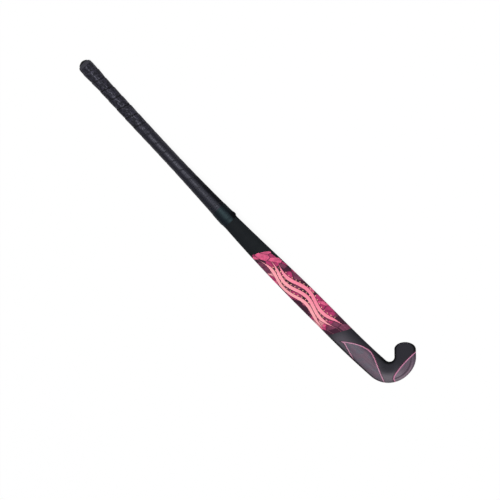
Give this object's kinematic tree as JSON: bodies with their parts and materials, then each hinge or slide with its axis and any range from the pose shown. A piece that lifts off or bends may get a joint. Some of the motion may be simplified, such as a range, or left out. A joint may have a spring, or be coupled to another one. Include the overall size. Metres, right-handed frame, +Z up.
{
  "type": "field hockey stick",
  "caption": "Field hockey stick: bowed hollow composite shaft with a flat playing face, rounded back and hooked head, domed butt cap and wound handle grip.",
  "frame": {"origin": "on the ground, under the middle of the stick's box, with the stick lying on its playing face", "axes": "+X along the stick from the butt to the head, +Y from the heel to the toe, +Z up from the playing face to the rounded back"},
  "size_m": [0.927, 0.1174, 0.0468],
  "materials": {
    "laminate": "clear-lacquered black fibre laminate with printed bands of pink and plum",
    "inner_tube": "bare cured fibre tube",
    "core_foam": "rigid foam",
    "woven_sock": "resin-wetted woven sock",
    "damper_foam": "soft foam",
    "cap_rubber": "moulded, satin",
    "underlay_foam": "thin foam tape",
    "grip_polyurethane": "perforated polyurethane tape, matt",
    "vinyl_tape": "stretched vinyl tape, glossy"
  },
  "bodies": {
    "root": {"composite_shell": "laminate", "toe_side_tube": "inner_tube", "heel_side_tube": "inner_tube", "head_core": "core_foam", "head_sock": "woven_sock", "toe_side_damper": "damper_foam", "heel_side_damper": "damper_foam", "butt_cap": "cap_rubber", "butt_build_up": "underlay_foam", "grip_underlay": "underlay_foam", "grip_tape": "grip_polyurethane", "finishing_tape": "vinyl_tape"}
  },
  "joints": []
}
